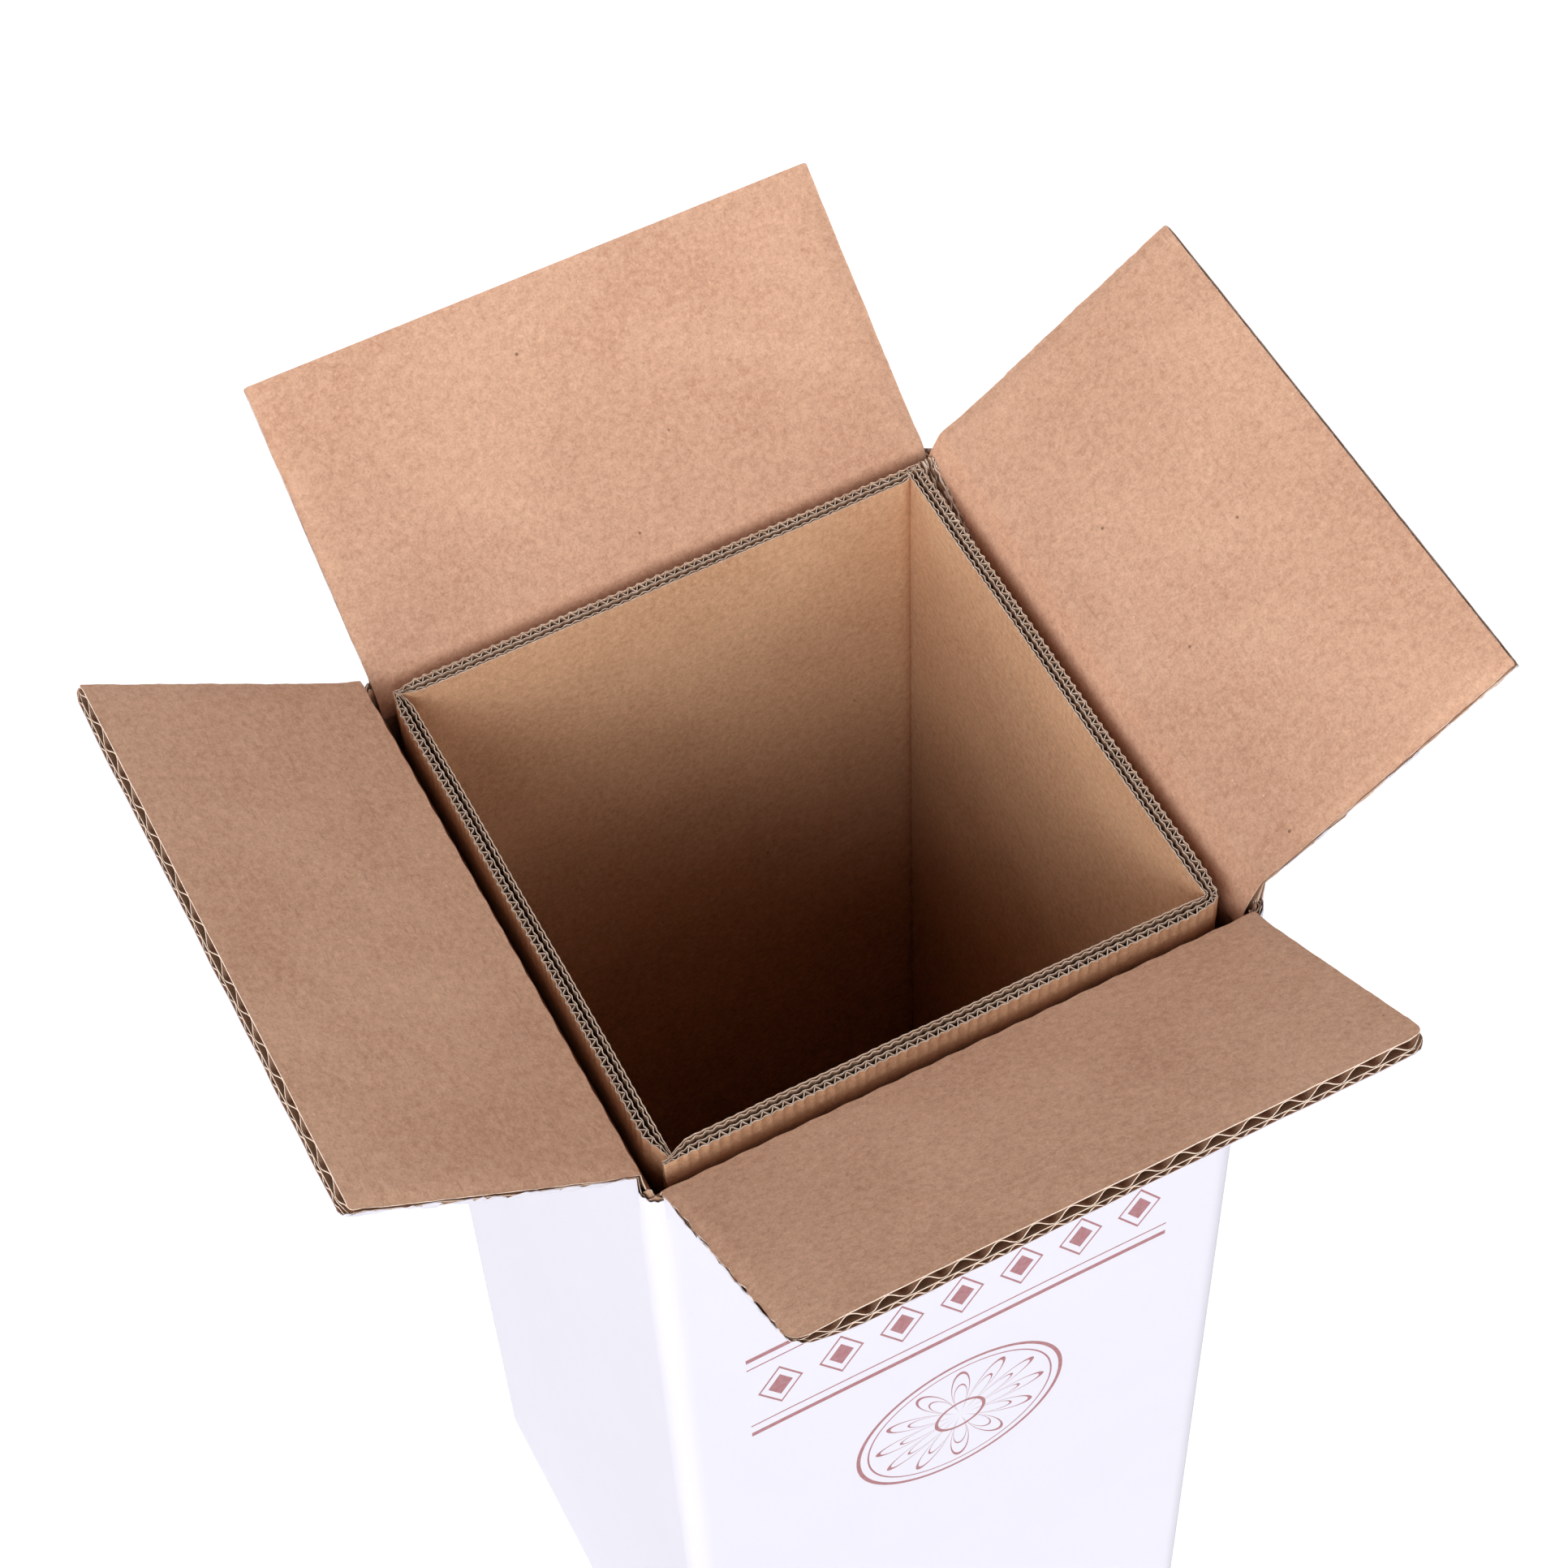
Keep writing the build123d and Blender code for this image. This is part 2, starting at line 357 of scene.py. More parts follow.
# top flaps: how each one bends at its crease, and the wear that it shows (millimetres)
flapLook = {
    "creaseInset": 1.6,       # crease line, in from the wall's outer face
    "wallInset": {"front": 2.7, "back": 2.7, "left": 1.84, "right": 2.7},     # and out from its inside face
    "bendDrop": {"front": 7.5, "back": 7.5, "left": 12.7, "right": 11.5},     # where the wall starts to lean
    "seamDrop": 8.6,          # the flap's sheets start this far under the lower creases
    "rootGap": 0.3,           # crease line to the ridge that the inside face turns over
    "lean": {"front": 0.2, "back": 0.5, "left": 0.05, "right": 0.45},
    "hollow": {"front": (0.25, 0.5), "back": (0.45, 0.3), "left": (0.15, 0.62), "right": (0.45, 0.4)},
    "ridgeRadius": {"front": 0.25, "back": 1.7, "left": 0.2, "right": 1.0},
    "crushLength": 7.0,       # the board swells back to its thickness over this length
    "creased": 1.1,           # board left at the crease
    "scallop": 0.1,           # flutes that show through along the crease
    "waves": (0.08, 24),      # height and length of the flap's slight waves
    "sidePinch": 0.62,        # side edges, pinched by the slotting knives
    "sideReach": 2.8,         # over this width
    "endPinch": 0.2,          # free edge, pinched by the cutter
    "endReach": 5,
    "pinchLevel": 0.25,       # share of the thickness at which pinched papers meet
    "hardestPinch": 0.85,
    "corners": {              # radius at the two free corners, and how ragged the edges are
        "front": (3.4, 3.4, 0.9), "back": (0.5, 0.5, 0.15),
        "left": (0.5, 0.9, 0.35), "right": (0.5, 0.5, 0.5)},
    "torn": 0.5,              # papers torn back from the side edges
    "frayed": 0.12,           # and from the free edge
    # share of each side edge where the knives dragged the white facing over the cut
    "dragged": {"front": (0.55, 0.1), "back": (0.4, 0.4), "left": (0.5, 0.5), "right": (0.35, 0.5)},
    "dragReach": 1.2,         # the strip that is dragged
    "dragOut": 0.3,           # how far it stands out, and how far the papers under it stop short
    # which free corner is crushed, and how much
    "crushedCorner": {"front": (-1, 0.55), "back": (1, 0.1), "left": (-1, 0.1), "right": (1, 0.1)},
    "cornerReach": 11,
    "crumple": 0.5,           # of the crushed corner's papers
    "seeds": {                # for the wear, one to a flap
        "front": 17.3, "back": 34.6, "left": 51.9, "right": 69.2},
}
lowCrease = min(j["pos_m"][2] for j in frame["joints"]) / mm


def makeFlap(side):
    look, board = flapLook, cartonBoard
    joint = next(j for j in frame["joints"] if j["name"] == f"{side}_crease")
    node = frame["nodes"][f"flap_{side}"]
    crease = Vector(joint["pos_m"]) / mm
    outwards = Vector((crease.x, crease.y, 0)).normalized()
    up = Vector((0, 0, 1))
    opened = math.radians(-joint["range_deg"][0] - 90)
    along = up * math.cos(opened) + outwards * math.sin(opened)
    face = up * math.sin(opened) - outwards * math.cos(opened)
    across = face.cross(along)
    spots = [v.co / mm - crease for v in node.data.vertices]
    length = max(p.dot(along) for p in spots)
    half = max(p.dot(across) for p in spots)
    drop = -max(p.dot(face) for p in spots)

    foot = -outwards * look["wallInset"][side] - up * look["bendDrop"][side]
    ridge = along * look["rootGap"] - face * drop
    leaning = (up + outwards * look["lean"][side]).normalized()
    radius = look["ridgeRadius"][side]
    risen = ridge - leaning * radius
    wallRun = (risen - foot).length
    turned = wallRun + 2 * radius
    end = turned + length - look["rootGap"] - radius
    seed = look["seeds"][side]
    *radii, ragged = look["corners"][side]
    crushSide, crushShare = look["crushedCorner"][side]
    dragged = look["dragged"][side]
    thin, full = look["creased"], board["thickness"]
    waveHeight, waveLength = look["waves"]

    def insideFace(u):
        # up the wall, leaning out to the ridge, round it, then along the flap
        if u < 0:
            return foot + up * u
        if u < wallRun:
            t = u / wallRun
            low, high = look["hollow"][side]
            points = (foot, foot + up * wallRun * low, risen - leaning * wallRun * high, risen)
            weights = ((1 - t) ** 3, 3 * t * (1 - t) ** 2, 3 * t * t * (1 - t), t ** 3)
            return sum((c * k for c, k in zip(points, weights)), Vector())
        if u < turned:
            t = (u - wallRun) / (turned - wallRun)
            return risen * (1 - t) ** 2 + ridge * 2 * t * (1 - t) + (ridge + along * radius) * t * t
        return ridge + along * (u - turned + radius)

    def place(u, w, depth):
        # u runs up the wall, round the crease and out to the free edge
        point = insideFace(u)
        turning = smooth(wallRun - 1.5, turned + 2.5, u)
        normal = (outwards * (1 - turning) - face * turning).normalized()
        # free corners are rounded, and the cut edges wander a little
        inCorner = max(0, abs(w) - half + radii[w > 0])
        cutBack = radii[w > 0] - math.sqrt(max(0, radii[w > 0] ** 2 - inCorner ** 2))
        cutBack += look["frayed"] * ragged * (1 + wobble(w, depth * 3, size=1.1, seed=seed))
        point = point - along * (cutBack * smooth(end - 9, end, u))
        edge = smooth(half - look["sideReach"], half, abs(w)) * smooth(wallRun, turned + 4, u)
        tear = 0.4 + wobble(u, depth * 2, size=2.3, seed=seed + 5)
        tear += 0.5 * wobble(u, depth, size=1.3, seed=seed)
        aside = abs(w) - max(0, tear) * look["torn"] * ragged * edge * dragged[w > 0] / max(dragged)
        # the white facing stands out past the cut edge in places, and folds up over it
        over = 0.75 + 0.9 * wobble(u, w > 0, size=3.1, seed=seed + 9)
        over += 0.7 * wobble(u, w > 0, size=1.2, seed=seed + 6)
        over = dragged[w > 0] * smooth(turned, turned + 3, u) * min(1.15, max(0, over))
        past = smooth(half - look["dragReach"], half, abs(w))
        outermost = depth > board["outerFacing"] - 0.1
        if outermost:
            bulge = look["dragOut"] * math.sin(math.pi * past)
            aside += over * (bulge + (half - abs(w)) * smooth(0, 0.35, past))
            aside += over * (depth - board["outerFacing"]) * smooth(0.1, 0.5, past)
        elif depth > board["insideFacing"] + 0.35:
            aside -= look["dragOut"] * over * edge
        aside = math.copysign(aside, w)
        # crushed along the crease, pinched along the cut edges
        if u < wallRun + radius:
            thick = look["creaseInset"] - point.dot(outwards)
        else:
            thick = thin + (full - thin) * smooth(wallRun + radius, turned + look["crushLength"], u)
        crushing = 1 - smooth(thin, full * 0.8, thick)
        pinch = look["sidePinch"] * edge * (0.9 + 0.35 * wobble(u, size=7, seed=seed + 8))
        endPinch = look["endPinch"] * smooth(end - look["endReach"], end, u)
        pinch = max(pinch, endPinch * (1 + 0.5 * wobble(w, size=9, seed=seed)))
        corner = smooth(end - look["cornerReach"], end, u)
        corner *= smooth(half - look["cornerReach"], half, w * crushSide)
        pinch = min(look["hardestPinch"], pinch + crushShare * corner)
        deep = depth + (full * look["pinchLevel"] - depth) * pinch
        if outermost:
            deep *= 1 - 0.95 * over * smooth(0.3, 1, past)
        deep = deep * thick / full + waveHeight * wobble(u, w, size=waveLength, seed=seed) * smooth(0, 12, u)
        deep += look["scallop"] * crushing * math.cos(2 * math.pi * w / board["bFlute"]["pitch"])
        deep += look["crumple"] * corner * crushShare * wobble(w * 0.7, u, size=1.8, seed=seed + 2)
        return (crease + point + normal * deep + across * aside) * mm

    wallFoot = lowCrease - look["seamDrop"] - crease.z + look["bendDrop"][side]
    rootRows = [wallFoot] + steps(0, wallRun, 8) + steps(wallRun, turned, 6)[1:]
    rootRows += [turned + x for x in (0.7, 1.6, 2.8, 4.4, 6.5, 9)]
    lastRows = [end - x for x in (4.4, 3, 1.9, 1, 0.4, 0)]
    bm = bmesh.new()
    stackBoard(bm, rootRows + steps(turned + 13, end - 6, 7) + lastRows, half, place, seed,
               facingRows=rootRows + steps(turned + 10, end - 5, 40) + lastRows)
    piece = makePiece(f"{side}Flap", bm, papers)
    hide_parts(f"flap_{side}")
    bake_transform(piece)


for side in ("front", "back", "left", "right"):
    makeFlap(side)
print("flaps made")


# the carton below its creases (millimetres)
bodyLook = {
    "board": 4.3,             # the walls' board is less pressed than the flaps'
    "outerRadius": 4.0,
    "foldShare": 0.42,        # share of the board left at a fold
    "foldReach": 4.0,
    "leftCrush": 0.2,         # share that the left wall loses towards its crease
    "bow": 0.2,               # the panels' slight hollow
    "slot": 3.2,              # width, and depth under the lower creases
    "standing": (1.3, 1.6, 1.8, 2.2),         # torn papers above the slot's floor, at each fold
    "tornLevels": (0.1, 1.0, 1.9, 2.8, 3.98),
    "tornPaper": 0.32,
    "baseRadius": 3.0,
    "seamGap": 1.2,           # between the bottom flaps' free edges
    "sideGap": 0.1,
    "tab": {
        "thickness": 1.5, "splayed": 1.9, "reach": 38.0, "height": 18.0, "top": -0.4, "slant": 0.24,
        "levels": (0.1, 0.9, 1.8, 2.7, 3.5, 4.0), "paper": 0.28,
        "thinning": (6, 0.7),                 # width of the skived free edge, and how much it loses
        "leaning": (3.0, 1.4, 10.7)},         # outwards at the top, and from where over what height
}
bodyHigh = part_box("carton_body")[1] / mm
halfWidth, halfDepth = bodyHigh.x, bodyHigh.y
bodyTop = lowCrease - flapLook["seamDrop"]


def makeCarton():
    look = bodyLook
    board, radius, tab = look["board"], look["baseRadius"], look["tab"]
    track, runs, arcs = foldedTrack(halfWidth, halfDepth, (look["outerRadius"],) * 4)

    def wall(z, p, depth):
        point, outward, fold, near = track(p)
        share = look["foldShare"] + (1 - look["foldShare"]) * smooth(0, look["foldReach"], near)
        lift = smooth(0, 60, z) * smooth(0, 30, bodyTop - z)
        share *= 1 - look["leftCrush"] * smooth(bodyTop - 13, bodyTop, z) * max(0, -outward.x)
        inwards = (board - depth) * share
        inwards += look["bow"] * lift * smooth(2, 30, near) * (0.4 + wobble(p, z, size=60, seed=4))
        # the front and back panels turn under one board up
        under = max(0, board + radius - z) * (abs(outward.y) > 0.7)
        inwards += (radius - math.sqrt(max(0, radius ** 2 - under ** 2))) * depth / board
        return (point - outward * inwards + Vector((0, 0, z))) * mm

    bm = bmesh.new()
    around = spotsAround(runs, arcs, (0, 0.8, 1.7, 2.8, 4.2, 7), 8)
    heights = [board + x for x in (0, 0.15, 0.6, 1.4, 2.2, 3)] + steps(16, bodyTop, 20)
    addTube(bm, around, heights, board, wall, (kraft, white, cut))

    # papers standing up in the slot at each fold, torn and squashed
    slotFloor = lowCrease - look["slot"]
    start = 0
    for fold, (run, arc) in enumerate(zip(runs, arcs)):
        start += run
        across = steps(start + 0.7, start + arc - 0.7, 18)
        start += arc
        standing = look["standing"][fold]

        for level in look["tornLevels"]:
            outermost = level == look["tornLevels"][-1]

            def torn(z, p, depth):
                rise = smooth(bodyTop + 2, slotFloor, z)
                extra = 0.6 * wobble(p, level * 3, size=0.8, seed=fold * 5)
                extra += standing * max(0, 0.6 + wobble(p, level * 1.5, size=2.2, seed=fold * 3 + 1))
                crumple = rise * (0.7 + 0.25 * standing) * wobble(p, z, size=1.1, seed=fold * 7 + level)
                return wall(z + rise * extra, p, depth + min(crumple, 0 if outermost else 0.9))
            addPaper(bm, steps(bodyTop, slotFloor, 8), across, torn, flat(level), look["tornPaper"],
                     (kraft, white, white) if outermost else (kraft, medium, cut))

    # closed bottom: the side panels' flaps outside, the front and back ones on top of them
    bend = radius * math.pi / 2
    for sign in (-1, 1):
        def lower(u, w, depth):
            angle = min(math.pi / 2, max(0, u / radius))
            off = radius - board + depth
            x = halfWidth - radius + off * math.cos(angle) - max(0, u - bend)
            return Vector((sign * x, w, radius - off * math.sin(angle) - min(0, u))) * mm
        run = halfWidth - radius - look["seamGap"] / 2
        rows = [radius - board] + steps(0, bend, 5) + steps(bend + run / 5, bend + run, 4)
        stackBoard(bm, rows, halfDepth - look["slot"], lower, 60 + sign)

        def upper(u, w, depth):
            return Vector((w, sign * (halfDepth - board - u), board * 2 - depth)) * mm
        run = halfDepth - board - look["seamGap"] / 2
        stackBoard(bm, steps(0, run, 5), halfWidth - board - look["sideGap"], upper, 70 + sign)

    # seam tab: the back panel's edge, crushed thin and glued inside the right wall
    skived, thinned = tab["thinning"]
    leanOut, leanFrom, leanOver = tab["leaning"]

    def tabPlace(u, w, depth):
        # u runs up to the slanted top edge, w forward from the fold at the back
        edge = smooth(-6, 0, u)
        top = lowCrease + tab["top"] - w * tab["slant"]
        ragged = 0.5 * wobble(w, depth * 4, size=1.2, seed=9) + 0.6 * wobble(w, depth, size=5, seed=3)
        height = top + u + edge * ragged
        thick = tab["thickness"] + tab["splayed"] * edge
        thick *= 1 - thinned * smooth(tab["reach"] - skived, tab["reach"], w)
        deep = depth + edge * (0.5 * wobble(w, size=2.7, seed=depth) + 0.8 * wobble(w, size=9, seed=2))
        leaned = leanOut * (max(0, height - bodyTop - leanFrom) / leanOver) ** 1.5
        inset = (board - deep) / board * thick
        return Vector((halfWidth - board + leaned - 0.04 - inset, halfDepth - board - w, height)) * mm
    for k, depth in enumerate(tab["levels"]):
        wave = fluted({"middle": depth, "height": 0.12 + 0.1 * (k % 2), "pitch": 4.1 - 0.35 * k}, depth, 1.6)
        addPaper(bm, [-tab["height"], -4, -2, -1, -0.3, 0], steps(0, tab["reach"], 120), tabPlace, wave,
                 tab["paper"], (kraft if k == 0 else medium, medium, cut))
    piece = makePiece("cartonShell", bm, papers)
    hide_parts("carton_body")
    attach(piece, "carton")


makeCarton()
print("carton made")


# liner sleeve: fine flute double wall board (millimetres)
linerLook = {
    "board": 3.15,
    "paper": 0.18,
    "radii": (1.0, 1.3, 1.0, 3.4),
    "pitch": 1.95,
    "fluteSteps": 8,          # stations to a flute, in the fluted sheets and in the facings
    "facingSteps": 6,
    "rimDepth": 6,            # separate sheets from here up, plain walls below
    "raggedRim": 0.09,
    "uneven": 0.2,            # slow rise and fall of the rim
    "sag": 0.2,               # the walls between the folds
    # at each fold, for the wall before it and the wall after it: the share of the board that is left and
    # how far out it is pressed; then over what reach
    "folds": (
        ((1.0, 0.0), (0.2, 0.95), 3.6), ((0.4, 0.5), (0.4, 0.5), 5.0),
        ((0.3, 0.0), (0.3, 0.95), 6.5), ((0.75, 0.3), (0.75, 0.3), 3.5)),
    # each sheet's depth and the height of its waves
    "innerFacing": (0.0, 0.06), "innerFlute": (0.5, 0.17), "middleFacing": (1.45, 0.12),
    "outerFlute": (2.12, 0.54), "outerFacing": (2.74, 0.2),
    "innerSeed": 1.5, "outerSeed": 5.5,       # sheets that share a seed follow the same flutes
}
linerLow, linerHigh = (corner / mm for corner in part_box("liner"))


def makeLiner():
    look = linerLook
    centre = (linerLow + linerHigh) / 2
    half = (linerHigh - linerLow) / 2
    track, runs, arcs = foldedTrack(half.x, half.y, look["radii"])
    total = sum(runs) + sum(arcs)
    top, board = linerHigh.z, look["board"]
    down = top - look["rimDepth"]

    def place(z, p, depth):
        point, outward, fold, near = track(p)
        before, after, reach = look["folds"][fold]
        inwards = []
        for share, pressed in (before, after) if fold in (0, 2) else (after, before):
            crushed = (1 - share) * (1 - smooth(0, reach, near))
            inwards.append((board - depth) * (1 - crushed) + board * crushed * (1 - pressed))
        ragged = look["raggedRim"] * wobble(p, depth * 5, size=0.5, seed=21)
        ragged += look["uneven"] * wobble(p, size=14, seed=2)
        height = min(z + smooth(top - 3, top, z) * ragged, top + 0.4)
        sag = look["sag"] * (0.5 + wobble(p, z * 0.5, size=30, seed=31)) * smooth(2, 25, near)
        # the first share counts for the walls that face left and right, the second for the other two
        offset = Vector((outward.x * (inwards[0] + sag), outward.y * (inwards[1] + sag), 0))
        return (Vector((centre.x, centre.y, height)) + point - offset) * mm

    def ripple(sheet, seed, spiky=False, fade=True):
        # a sheet that follows the flutes: round waves, or a facing that sags between their tips
        depth, waves = look[sheet]

        def profile(z, p):
            angle = 2 * math.pi * p / look["pitch"] + 0.9 * wobble(p, size=7, seed=seed)
            atRim = smooth(down, top - 1.5, z)
            height = (atRim if fade else 1) * (waves * (1 + 0.3 * wobble(p, size=2.5, seed=seed + 4)))
            if spiky:
                # level with the wall's face below, and drawn in to the flutes' tips at the rim
                below = (board - look["paper"] - depth) * (1 - atRim)
                return depth + below + height * (1 - 2 * abs(math.sin(angle / 2))), 0.0
            return depth + height * math.cos(angle), -height * math.sin(angle) * 2 * math.pi / look["pitch"]
        return profile

    bm = bmesh.new()
    around = spotsAround(runs, arcs, (0, 0.7, 1.5, 2.5, 3.8, 5.5, 8), 8)
    addTube(bm, around, steps(linerLow.z, down, 18), board, place, (kraft, kraft, medium))
    fine = steps(0, total, round(total / look["pitch"] * look["fluteSteps"]))
    coarse = steps(0, total, round(total / look["pitch"] * look["facingSteps"]))
    facingRows, fluteRows = [down, top - 3, top - 1.2, top], [down, top - 2, top - 0.08]
    inner, outer = look["innerSeed"], look["outerSeed"]
    for rows, stations, sheet, slots in (
            (facingRows, coarse, ripple("innerFacing", inner), (kraft, kraft, cut)),
            (fluteRows, fine, ripple("innerFlute", inner, fade=False), (medium, medium, cut)),
            (fluteRows, coarse, ripple("middleFacing", outer), (medium, medium, cut)),
            (fluteRows, fine, ripple("outerFlute", outer, fade=False), (medium, medium, cut)),
            (facingRows, fine, ripple("outerFacing", outer, spiky=True), (kraft, kraft, cut))):
        addPaper(bm, rows, stations, place, sheet, look["paper"], slots)
    # the sleeve takes the kraft copy whose yellower tint is painted warm bounce light
    piece = makePiece("linerSleeve", bm, [sleeveKraftPaintedBounce] + papers[1:])
    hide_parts("liner")
    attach(piece, "carton")


makeLiner()
print("liner made")


# print on the front panel: burgundy rules, a row of lozenges and a rosette (millimetres)
printLook = {
    "ink": "#96585C",
    "cover": (900, 0.82),     # flexo ink covers unevenly: repeats in a metre, and the thinnest cover
    "halfBand": 45,
    "rules": ((236, 1.5), (232.4, 0.5), (208.6, 0.5), (205, 1.5)),            # heights and widths
    "lozengeHeight": 220.5, "lozengePitch": 12.8, "lozengeSlope": 0.62,
    "lozengeSolid": 2.592, "lozengeFrame": (4.464, 0.28),
    "rosetteHeight": 168,
    "rings": ((23, 0.9), (20.8, 0.4), (5.4, 0.8)),                            # radii and widths
    "petals": 12, "petalRound": 0.7,
    "petalRows": ((18.6, 0.55), (13.392, 0.33)),                              # reach and half the line
    "skin": 1.2,              # depth of the front face that takes the ink
    "top": 300,
}


def printFront(tree, shader):
    look = printLook

    def maths(operation, *values):
        return calc(tree, operation, *values)

    place = addNode(tree, "ShaderNodeTexCoord").outputs["Object"]
    split = addNode(tree, "ShaderNodeSeparateXYZ", {0: place})
    x, y, z = (maths("MULTIPLY", axis, 1 / mm) for axis in split.outputs)
    inBand = maths("LESS_THAN", maths("ABSOLUTE", x), look["halfBand"])
    marks = []
    for height, width in look["rules"]:
        marks.append(maths("MULTIPLY", maths("COMPARE", z, height, width / 2), inBand))
    # lozenges: the sum of the distances across and up, repeated along the band
    pitch = look["lozengePitch"]
    cell = maths("FLOORED_MODULO", maths("ADD", x, pitch / 2), pitch)
    cell = maths("ABSOLUTE", maths("SUBTRACT", cell, pitch / 2))
    rise = maths("ABSOLUTE", maths("SUBTRACT", z, look["lozengeHeight"]))
    span = maths("MULTIPLY_ADD", rise, look["lozengeSlope"], cell)
    solid = maths("LESS_THAN", span, look["lozengeSolid"])
    outline = maths("COMPARE", span, *look["lozengeFrame"])
    marks += [maths("MULTIPLY", shape, inBand) for shape in (solid, outline)]
    # rosette: rings, and petals whose outline follows a rose curve
    rise = maths("SUBTRACT", z, look["rosetteHeight"])
    spot = addNode(tree, "ShaderNodeCombineXYZ", {0: x, 1: rise}).outputs[0]
    far = addNode(tree, "ShaderNodeVectorMath", {0: spot}, operation="LENGTH").outputs["Value"]
    marks += [maths("COMPARE", far, radius, width / 2) for radius, width in look["rings"]]
    turn = maths("MULTIPLY", maths("ARCTAN2", rise, x), look["petals"] / 2)
    petal = maths("POWER", maths("ABSOLUTE", maths("COSINE", turn)), look["petalRound"])
    for reach, line in look["petalRows"]:
        marks.append(maths("COMPARE", far, maths("MULTIPLY", petal, reach), line))
    ink = marks[0]
    for mark in marks[1:]:
        ink = maths("MAXIMUM", ink, mark)
    ink = maths("MULTIPLY", ink, maths("LESS_THAN", y, look["skin"] - halfDepth))
    ink = maths("MULTIPLY", ink, maths("LESS_THAN", z, look["top"]))
    repeats, thinnest = look["cover"]
    cover = addNode(tree, "ShaderNodeTexNoise", {"Vector": place, "Scale": repeats, "Detail": 3})
    ink = maths("MULTIPLY", ink, remap(tree, cover.outputs[0], 0.2, 0.8, toLow=thinnest))
    bare = shader.inputs["Base Color"].links[0].from_socket
    inked = mixColours(tree, ink, bare, linear(look["ink"]))
    tree.links.new(inked, shader.inputs["Base Color"])


printFront(whiteTree, whiteShader)
print("print made")


# room: a white floor that keeps a soft shadow, a wide window low in the front left, walls that glow all
# round and a dark ceiling, which is why the inside of the sleeve falls off to black
roomLook = {
    "walls": 1.1, "ceiling": 0.02,
    "ceilingFrom": (0.55, 0.84),              # upward share of a direction where the ceiling fades in
    "keyFrom": (-0.62, -0.74, 0.27),
    "keyStrength": 2.75,
    "keySoftness": 60,        # degrees
    "floorSize": 6.0,         # metres
    "floorDrop": 0.02,        # millimetres under the carton
    "floorGlow": 0.86, "floorShade": 0.34, "floorWhite": 0.9,
}


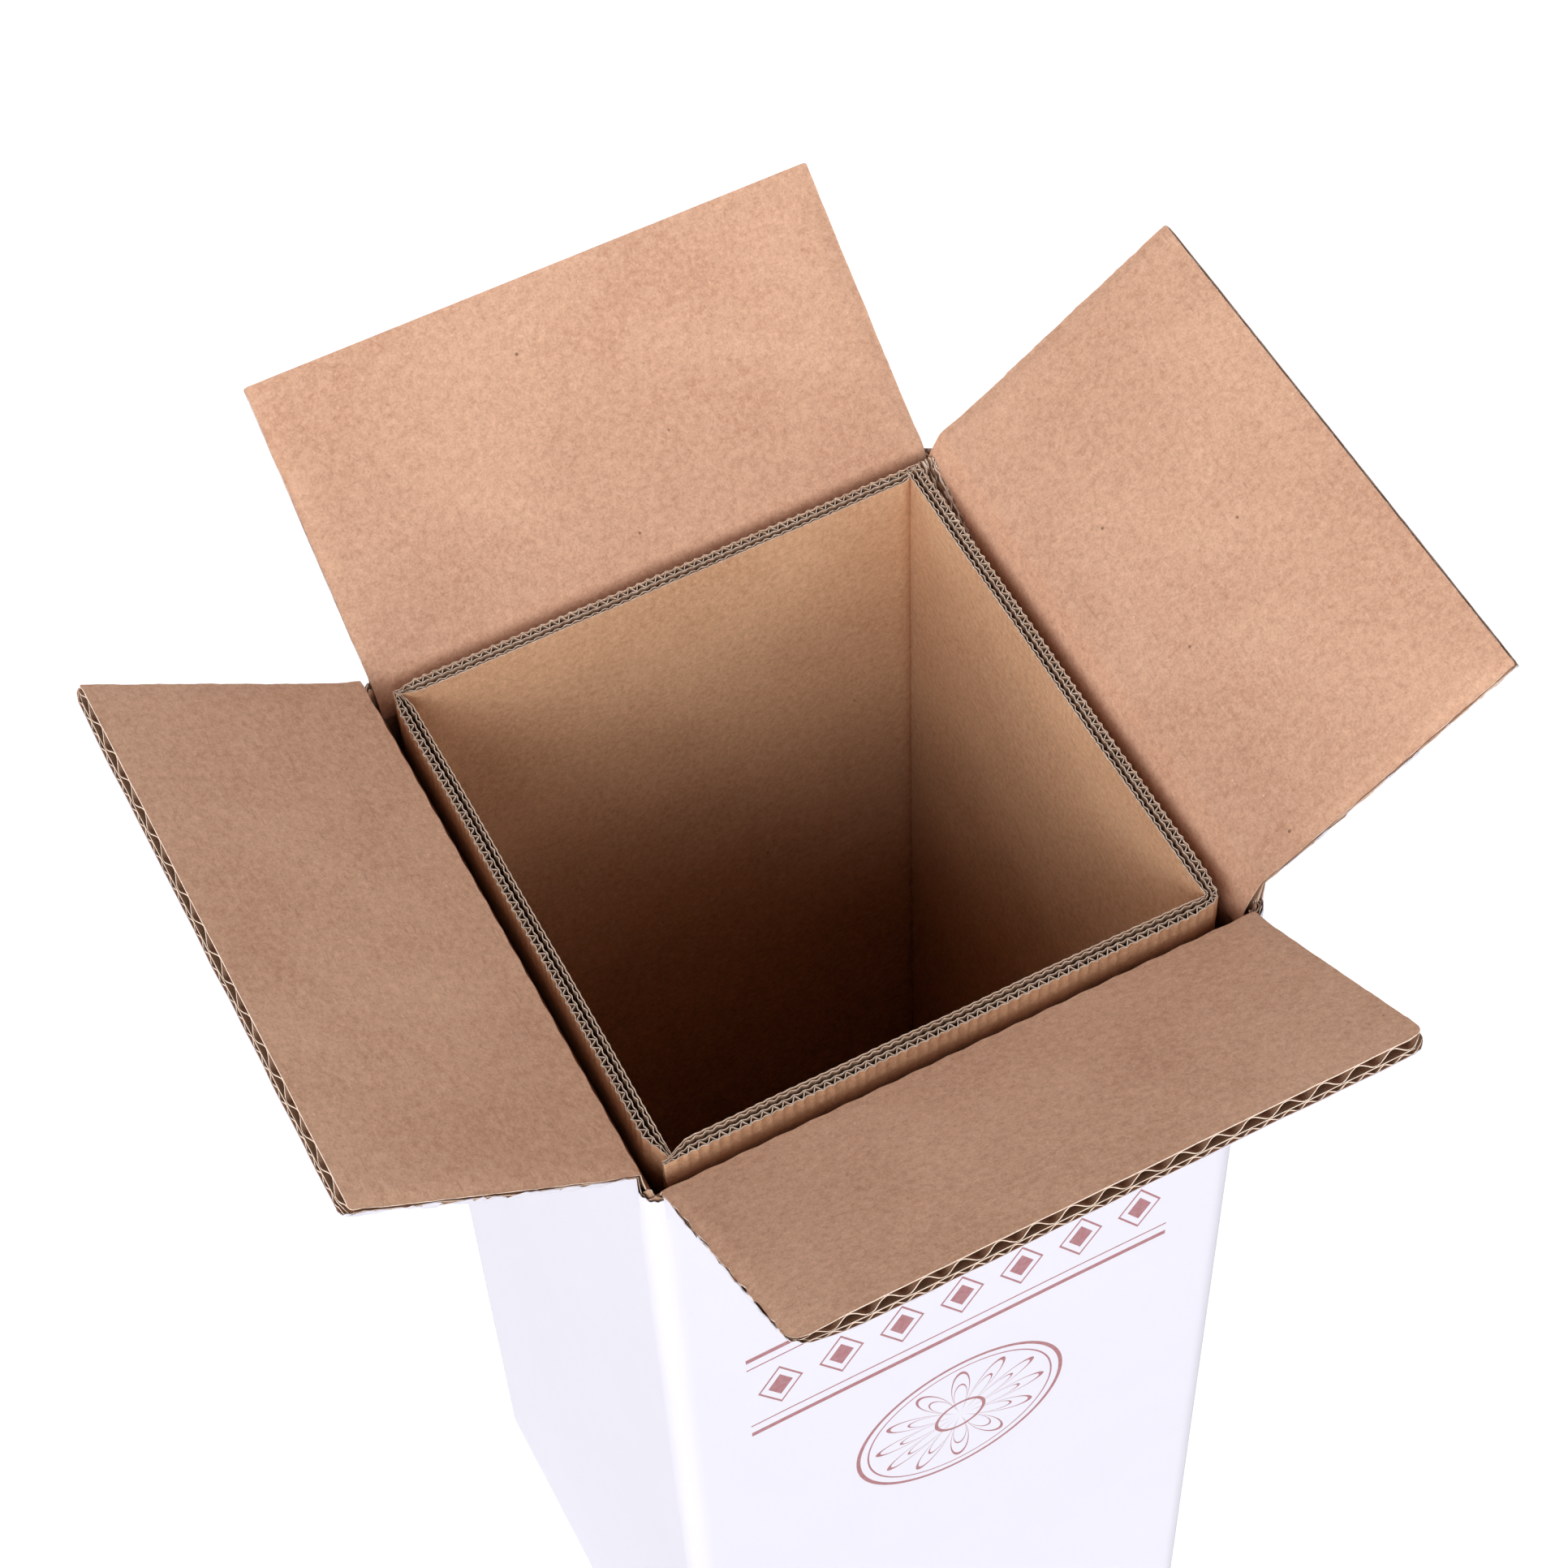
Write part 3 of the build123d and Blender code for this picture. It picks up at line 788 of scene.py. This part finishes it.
def makeRoom():
    look = roomLook
    bm = bmesh.new()
    bmesh.ops.create_grid(bm, x_segments=1, y_segments=1, size=look["floorSize"])
    bmesh.ops.translate(bm, verts=bm.verts[:], vec=(0, 0, -look["floorDrop"] * mm))
    mesh = bpy.data.meshes.new("floor")
    bm.to_mesh(mesh)
    bm.free()
    floor = bpy.data.objects.new("floor", mesh)
    bpy.context.scene.collection.objects.link(floor)
    material = bpy.data.materials.new("whiteStudioFloor")
    material.use_nodes = True
    tree = material.node_tree
    tree.nodes.clear()
    path = addNode(tree, "ShaderNodeLightPath")
    seen = calc(tree, "MAXIMUM", path.outputs["Is Camera Ray"], path.outputs["Is Glossy Ray"])
    seen = calc(tree, "MAXIMUM", seen, path.outputs["Is Transmission Ray"])
    # light that bounces off the floor meets plain matt white; what looks at it sees the glowing one
    matt = addNode(tree, "ShaderNodeBsdfDiffuse", {"Color": (look["floorWhite"],) * 3 + (1,)})
    shade = addNode(tree, "ShaderNodeBsdfDiffuse", {"Color": (look["floorShade"],) * 3 + (1,)})
    glow = addNode(tree, "ShaderNodeEmission", {"Color": (1, 1, 1, 1), "Strength": look["floorGlow"]})
    both = addNode(tree, "ShaderNodeAddShader", {0: shade.outputs[0], 1: glow.outputs[0]})
    mixed = addNode(tree, "ShaderNodeMixShader", {0: seen, 1: matt.outputs[0], 2: both.outputs[0]})
    addNode(tree, "ShaderNodeOutputMaterial", {"Surface": mixed.outputs[0]})
    mesh.materials.append(material)

    world = bpy.data.worlds.new("whiteRoom")
    bpy.context.scene.world = world
    world.use_nodes = True
    tree = world.node_tree
    tree.nodes.clear()
    path = addNode(tree, "ShaderNodeLightPath")
    seen = calc(tree, "MAXIMUM", path.outputs["Is Camera Ray"], path.outputs["Is Transmission Ray"])
    way = addNode(tree, "ShaderNodeTexCoord").outputs["Generated"]
    height = addNode(tree, "ShaderNodeSeparateXYZ", {0: way}).outputs[2]
    glow = remap(tree, height, *look["ceilingFrom"], look["walls"], look["ceiling"])
    # the camera sees plain white
    level = remap(tree, seen, 0.0, 1.0, toLow=glow)
    sky = addNode(tree, "ShaderNodeBackground", {"Color": (1, 1, 1, 1), "Strength": level})
    addNode(tree, "ShaderNodeOutputWorld", {"Surface": sky.outputs[0]})

    key = bpy.data.lights.new("keyLight", "SUN")
    key.energy = look["keyStrength"]
    key.angle = math.radians(look["keySoftness"])
    lamp = bpy.data.objects.new("keyLight", key)
    bpy.context.scene.collection.objects.link(lamp)
    lamp.rotation_euler = Vector(look["keyFrom"]).to_track_quat("Z", "Y").to_euler()


makeRoom()

# camera: an 85 mm lens above the front left corner, turned a little clockwise
cameraLook = {
    "aim": (-1.6, 3.4, 310), "azimuth": -24.9, "elevation": 55.55, "distance": 651.4, "roll": -3.15,
    "lens": 84.9,
}


def makeCamera():
    look = cameraLook
    a, e, r = (math.radians(look[k]) for k in ("azimuth", "elevation", "roll"))
    back = Vector((math.sin(a) * math.cos(e), -math.cos(a) * math.cos(e), math.sin(e)))
    right = Vector((0, 0, 1)).cross(back).normalized()
    up = back.cross(right)
    tilted = right * math.cos(r) + up * math.sin(r)
    up = back.cross(tilted)
    data = bpy.data.cameras.new("camera")
    data.sensor_width = 36
    data.lens = look["lens"]
    camera = bpy.data.objects.new("camera", data)
    bpy.context.scene.collection.objects.link(camera)
    turn = Matrix((tilted, up, back)).transposed().to_4x4()
    camera.matrix_world = Matrix.Translation((Vector(look["aim"]) + back * look["distance"]) * mm) @ turn
    bpy.context.scene.camera = camera


makeCamera()
bpy.context.scene.view_settings.view_transform = "Standard"
print("room and camera made")
